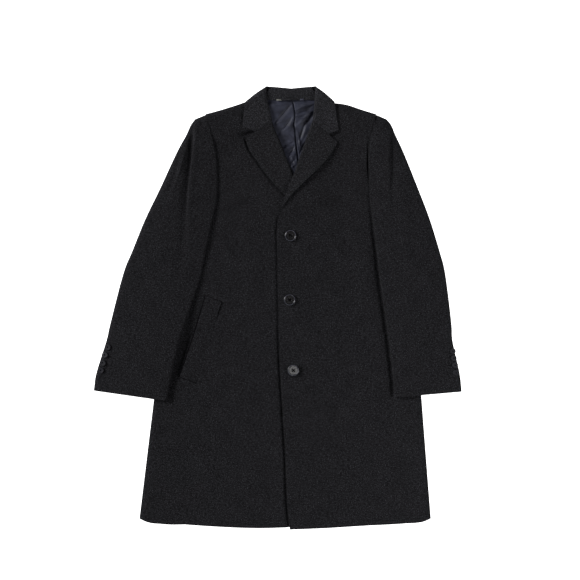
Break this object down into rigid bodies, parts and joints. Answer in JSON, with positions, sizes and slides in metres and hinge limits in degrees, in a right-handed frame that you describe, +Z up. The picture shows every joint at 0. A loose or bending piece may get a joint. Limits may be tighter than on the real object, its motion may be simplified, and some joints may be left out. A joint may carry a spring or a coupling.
{
  "type": "car coat",
  "caption": "Single-breasted wool car coat with notch lapels, laid flat on its back with the left front lapped over the right and its sleeves at its sides; rests on a surface.",
  "frame": {"origin": "centre of the bounding box at the surface the coat lies on", "axes": "+Z up off the surface, +Y from the hem to the collar, +X to the wearer's left"},
  "size_m": [0.846, 1.018, 0.0267],
  "materials": {
    "wool": "dark charcoal wool coating, fine heathered twill, matt",
    "satin": "dark navy satin lining, soft sheen",
    "horn": "dark horn-like buttons, half polished"
  },
  "bodies": {
    "root": {"back": "wool", "front_right": "wool", "front_left": "wool", "lapel_right": "wool", "lapel_left": "wool", "collar_fall": "wool", "collar_stand": "wool", "top_sleeve_right": "wool", "top_sleeve_left": "wool", "under_sleeve_right": "wool", "under_sleeve_left": "wool", "pocket_welt_right": "wool", "back_lining": "satin", "hanger_loop": "satin", "front_button_1": "horn", "front_button_2": "horn", "front_button_3": "horn", "cuff_button_right_1": "horn", "cuff_button_right_2": "horn", "cuff_button_right_3": "horn", "cuff_button_right_4": "horn", "cuff_button_left_1": "horn", "cuff_button_left_2": "horn", "cuff_button_left_3": "horn", "cuff_button_left_4": "horn"}
  },
  "joints": []
}
